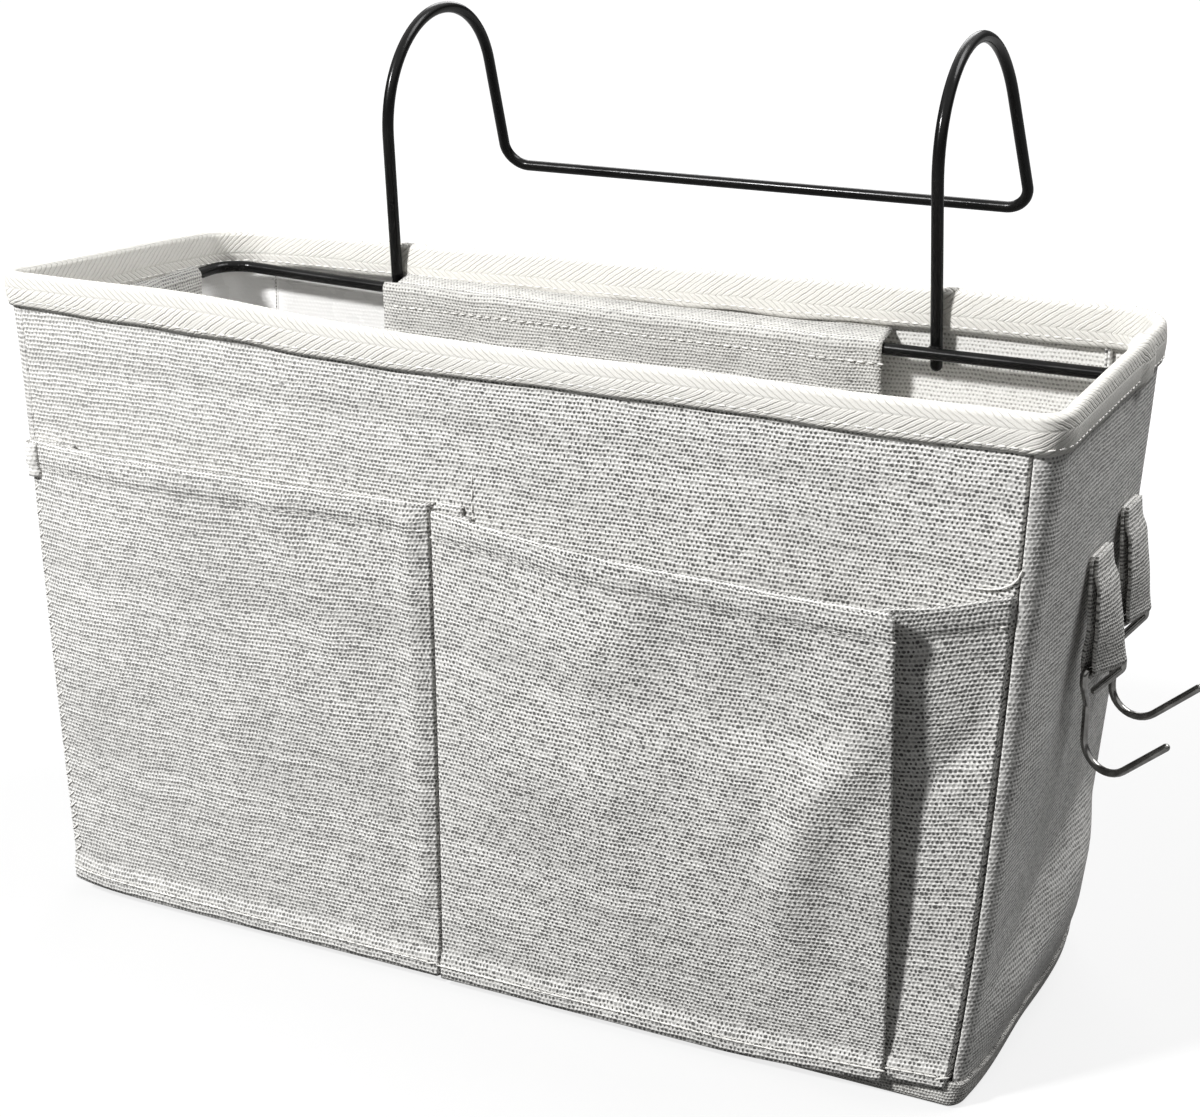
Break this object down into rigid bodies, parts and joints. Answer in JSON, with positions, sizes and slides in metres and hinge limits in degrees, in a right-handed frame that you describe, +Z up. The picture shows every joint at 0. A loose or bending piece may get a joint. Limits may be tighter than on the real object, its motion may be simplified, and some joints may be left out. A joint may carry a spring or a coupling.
{
  "type": "bedside caddy",
  "caption": "Open cloth caddy on a wire frame that hangs from a bed rail by a wire hook, with pleated front pockets and wire hooks on cloth tabs at one end.",
  "frame": {"origin": "middle of the bag's underside", "axes": "+X to the bag's right end, where the small hooks are; +Y to the back, the side of the bed rail; +Z up"},
  "size_m": [0.3954, 0.2381, 0.3051],
  "materials": {
    "linen_cloth": "coarse plain weave, coated on the inner face",
    "cotton_tape": "herringbone twill",
    "black_wire": "satin black dip coat on steel wire",
    "nickel_wire": "bright nickel plate, slightly grey"
  },
  "bodies": {
    "bag": {"front_panel": "linen_cloth", "back_panel": "linen_cloth", "right_end_panel": "linen_cloth", "left_end_panel": "linen_cloth", "bottom_panel": "linen_cloth", "rim_binding": "cotton_tape", "rim_frame": "black_wire", "bed_hook": "black_wire", "left_weld": "black_wire", "right_weld": "black_wire", "front_sleeve": "linen_cloth", "back_sleeve": "linen_cloth", "left_sleeve": "linen_cloth", "right_sleeve": "linen_cloth", "left_pocket": "linen_cloth", "right_pocket": "linen_cloth"},
    "front_tab": {"front_hook_tab": "linen_cloth"},
    "rear_tab": {"rear_hook_tab": "linen_cloth"},
    "front_hook": {"front_hook": "nickel_wire"},
    "rear_hook": {"rear_hook": "nickel_wire"}
  },
  "joints": [
    {"name": "front_tab_swing", "type": "hinge", "parent": "bag", "child": "front_tab", "pos_m": [0.18113, -0.0075, 0.163], "axis": [0, -1, 0], "range_deg": [0, 80]},
    {"name": "front_hook_swing", "type": "hinge", "parent": "front_tab", "child": "front_hook", "pos_m": [0.18605, -0.0075, 0.127], "axis": [-0.342, -0.9397, 0], "range_deg": [0, 100]},
    {"name": "rear_tab_swing", "type": "hinge", "parent": "bag", "child": "rear_tab", "pos_m": [0.18127, 0.026, 0.1695], "axis": [0, -1, 0], "range_deg": [0, 80]},
    {"name": "rear_hook_swing", "type": "hinge", "parent": "rear_tab", "child": "rear_hook", "pos_m": [0.1861, 0.026, 0.1335], "axis": [-0.1736, -0.9848, 0], "range_deg": [0, 100]}
  ]
}
